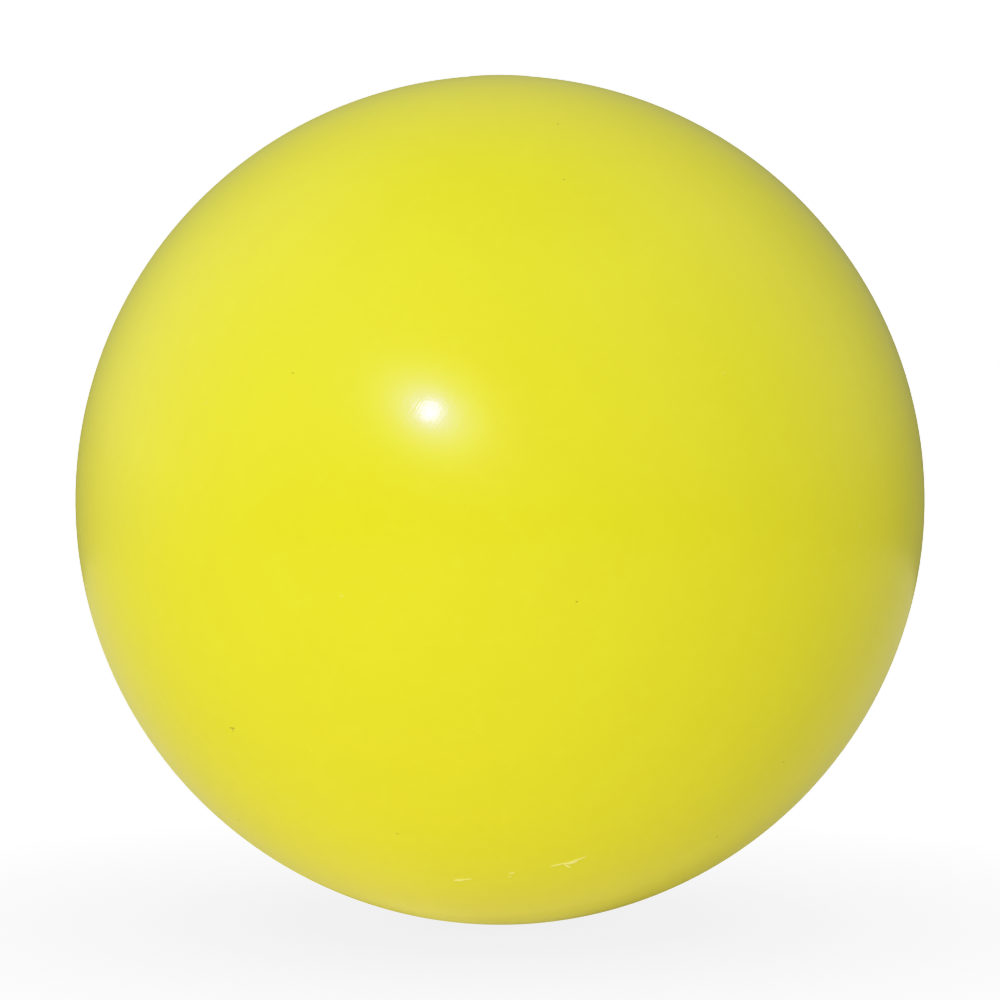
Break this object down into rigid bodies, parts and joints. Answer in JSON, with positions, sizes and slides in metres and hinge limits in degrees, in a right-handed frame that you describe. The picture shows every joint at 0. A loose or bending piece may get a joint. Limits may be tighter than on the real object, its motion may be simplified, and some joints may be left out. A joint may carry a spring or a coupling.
{
  "type": "playground rubber ball",
  "caption": "Smooth glossy yellow inflated rubber playground ball with a needle valve that pulls out, a wound inner wall and a small flat where it rests.",
  "frame": {"origin": "the ball's centre, which is also its centre of mass", "axes": "+Z from the centre along the valve's axis, out through the needle valve; -Z points down at the small flat that the ball rests on"},
  "size_m": [0.216, 0.216, 0.2155],
  "materials": {
    "cover_rubber": "gloss",
    "ply_rubber": "matte",
    "nylon_thread": "matte",
    "bladder_rubber": "matte",
    "valve_rubber": "satin",
    "insert_rubber": "satin",
    "patch_rubber": "matte"
  },
  "bodies": {
    "ball": {"outer_cover": "cover_rubber", "inner_ply": "ply_rubber", "nylon_winding": "nylon_thread", "bladder": "bladder_rubber", "valve_housing": "valve_rubber", "balance_patch": "patch_rubber"},
    "valve_core": {"valve_insert": "insert_rubber"}
  },
  "joints": [
    {"name": "valve_pull", "type": "slide", "parent": "ball", "child": "valve_core", "axis": [0, 0, 1], "range_m": [0, 0.012]}
  ]
}
